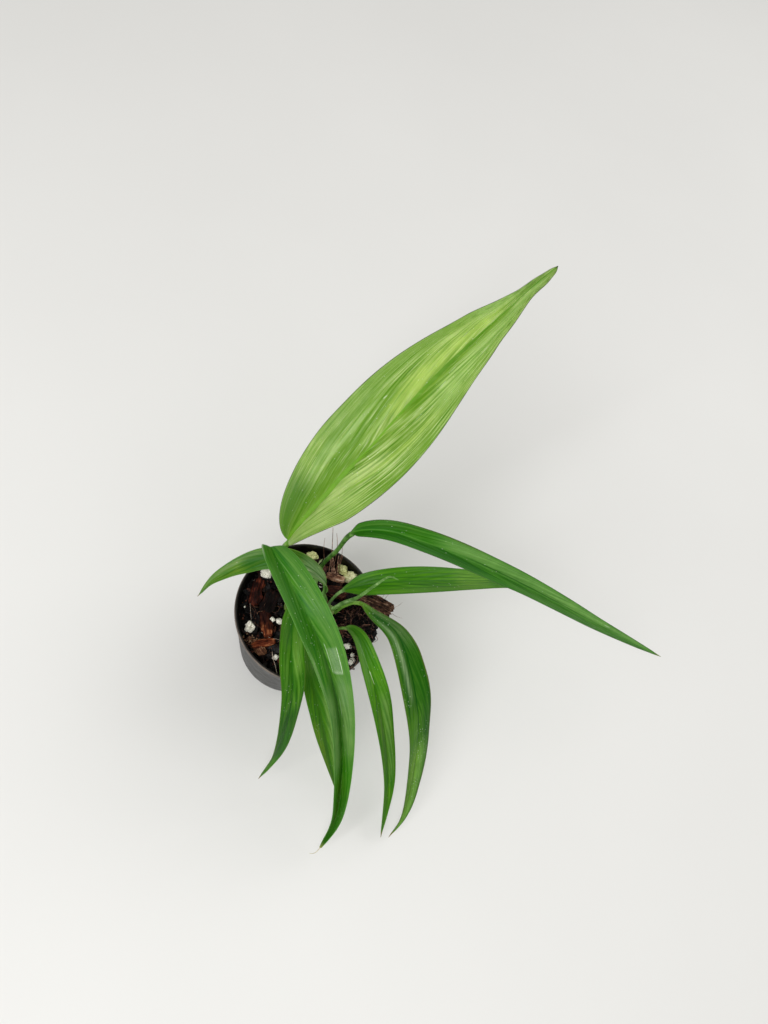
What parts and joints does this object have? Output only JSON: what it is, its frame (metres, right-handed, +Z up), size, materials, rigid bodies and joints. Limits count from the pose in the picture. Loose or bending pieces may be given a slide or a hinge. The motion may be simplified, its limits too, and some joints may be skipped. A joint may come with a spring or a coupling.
{
  "type": "potted houseplant",
  "caption": "Small houseplant with long pointed strap leaves, one broad and streaked with silver, in a tapered black nursery pot of chunky bark and pumice mix.",
  "frame": {"origin": "middle of the pot's flat underside", "axes": "+Z up along the pot's axis; the broad streaked leaf reaches to +X +Y, the long arched leaf to +X, the drooping leaves to -Y"},
  "size_m": [0.2906, 0.2807, 0.1919],
  "materials": {
    "pot_plastic": "glossy black, thin wall",
    "growing_mix": "dark damp bark and fibre, matt",
    "bark": "reddish brown bark, matt",
    "husk": "grey-brown fibrous husk, matt",
    "pumice": "off-white porous pumice, matt",
    "stem": "green, satin",
    "dry_stalk": "dry and papery",
    "new_leaf": "pale green, satin",
    "silver_leaf": "bright green with pale silvery streaks, satin",
    "green_leaf": "deep green, satin with a silvery sheen",
    "olive_leaf": "olive green, satin"
  },
  "bodies": {
    "root": {"pot": "pot_plastic", "growing_mix": "growing_mix", "bark_chip_left": "bark", "bark_chip_inner": "bark", "bark_chip_back": "bark", "bark_chip_front": "bark", "husk_chunk": "husk", "pumice_left": "pumice", "pumice_front": "pumice", "pumice_back": "pumice", "pumice_right": "pumice", "stem_front": "stem", "stem_back": "stem", "dry_stalk": "dry_stalk", "new_leaf_furled": "new_leaf", "leaf_silver_streak": "silver_leaf", "leaf_arched_right": "green_leaf", "leaf_low_right": "green_leaf", "leaf_front": "green_leaf", "leaf_small_left": "green_leaf", "leaf_drooping_right": "green_leaf", "leaf_drooping_narrow": "green_leaf", "leaf_drooping_left": "green_leaf", "leaf_under": "olive_leaf"}
  },
  "joints": []
}
